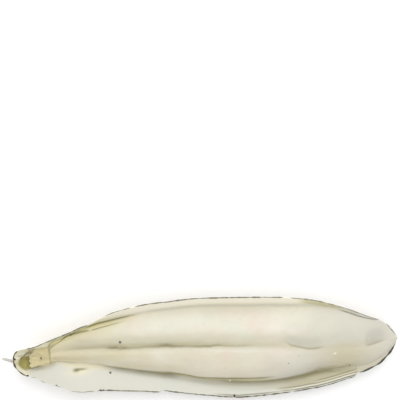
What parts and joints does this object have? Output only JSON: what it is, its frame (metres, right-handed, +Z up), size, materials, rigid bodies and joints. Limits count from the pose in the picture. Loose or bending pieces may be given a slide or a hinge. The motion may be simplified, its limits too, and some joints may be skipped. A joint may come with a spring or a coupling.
{
  "type": "cuttlebone",
  "caption": "Cuttlefish inner shell lying on its back: a bowl-shaped shield with upturned wings, a furrowed chalky dome, a tail collar and a short spine.",
  "frame": {"origin": "middle of the bounding box in X and Y, at the lowest point of the convex back, which rests on the surface", "axes": "+X from the tail spine to the front margin, +Z up out of the layered belly side, +Y to the left when looking from tail to front"},
  "size_m": [0.2, 0.054, 0.0177],
  "materials": {
    "cuttlebone": "matte, chalky, faintly waxy on the wings and collar"
  },
  "bodies": {
    "root": {"cuttlebone": "cuttlebone"}
  },
  "joints": []
}
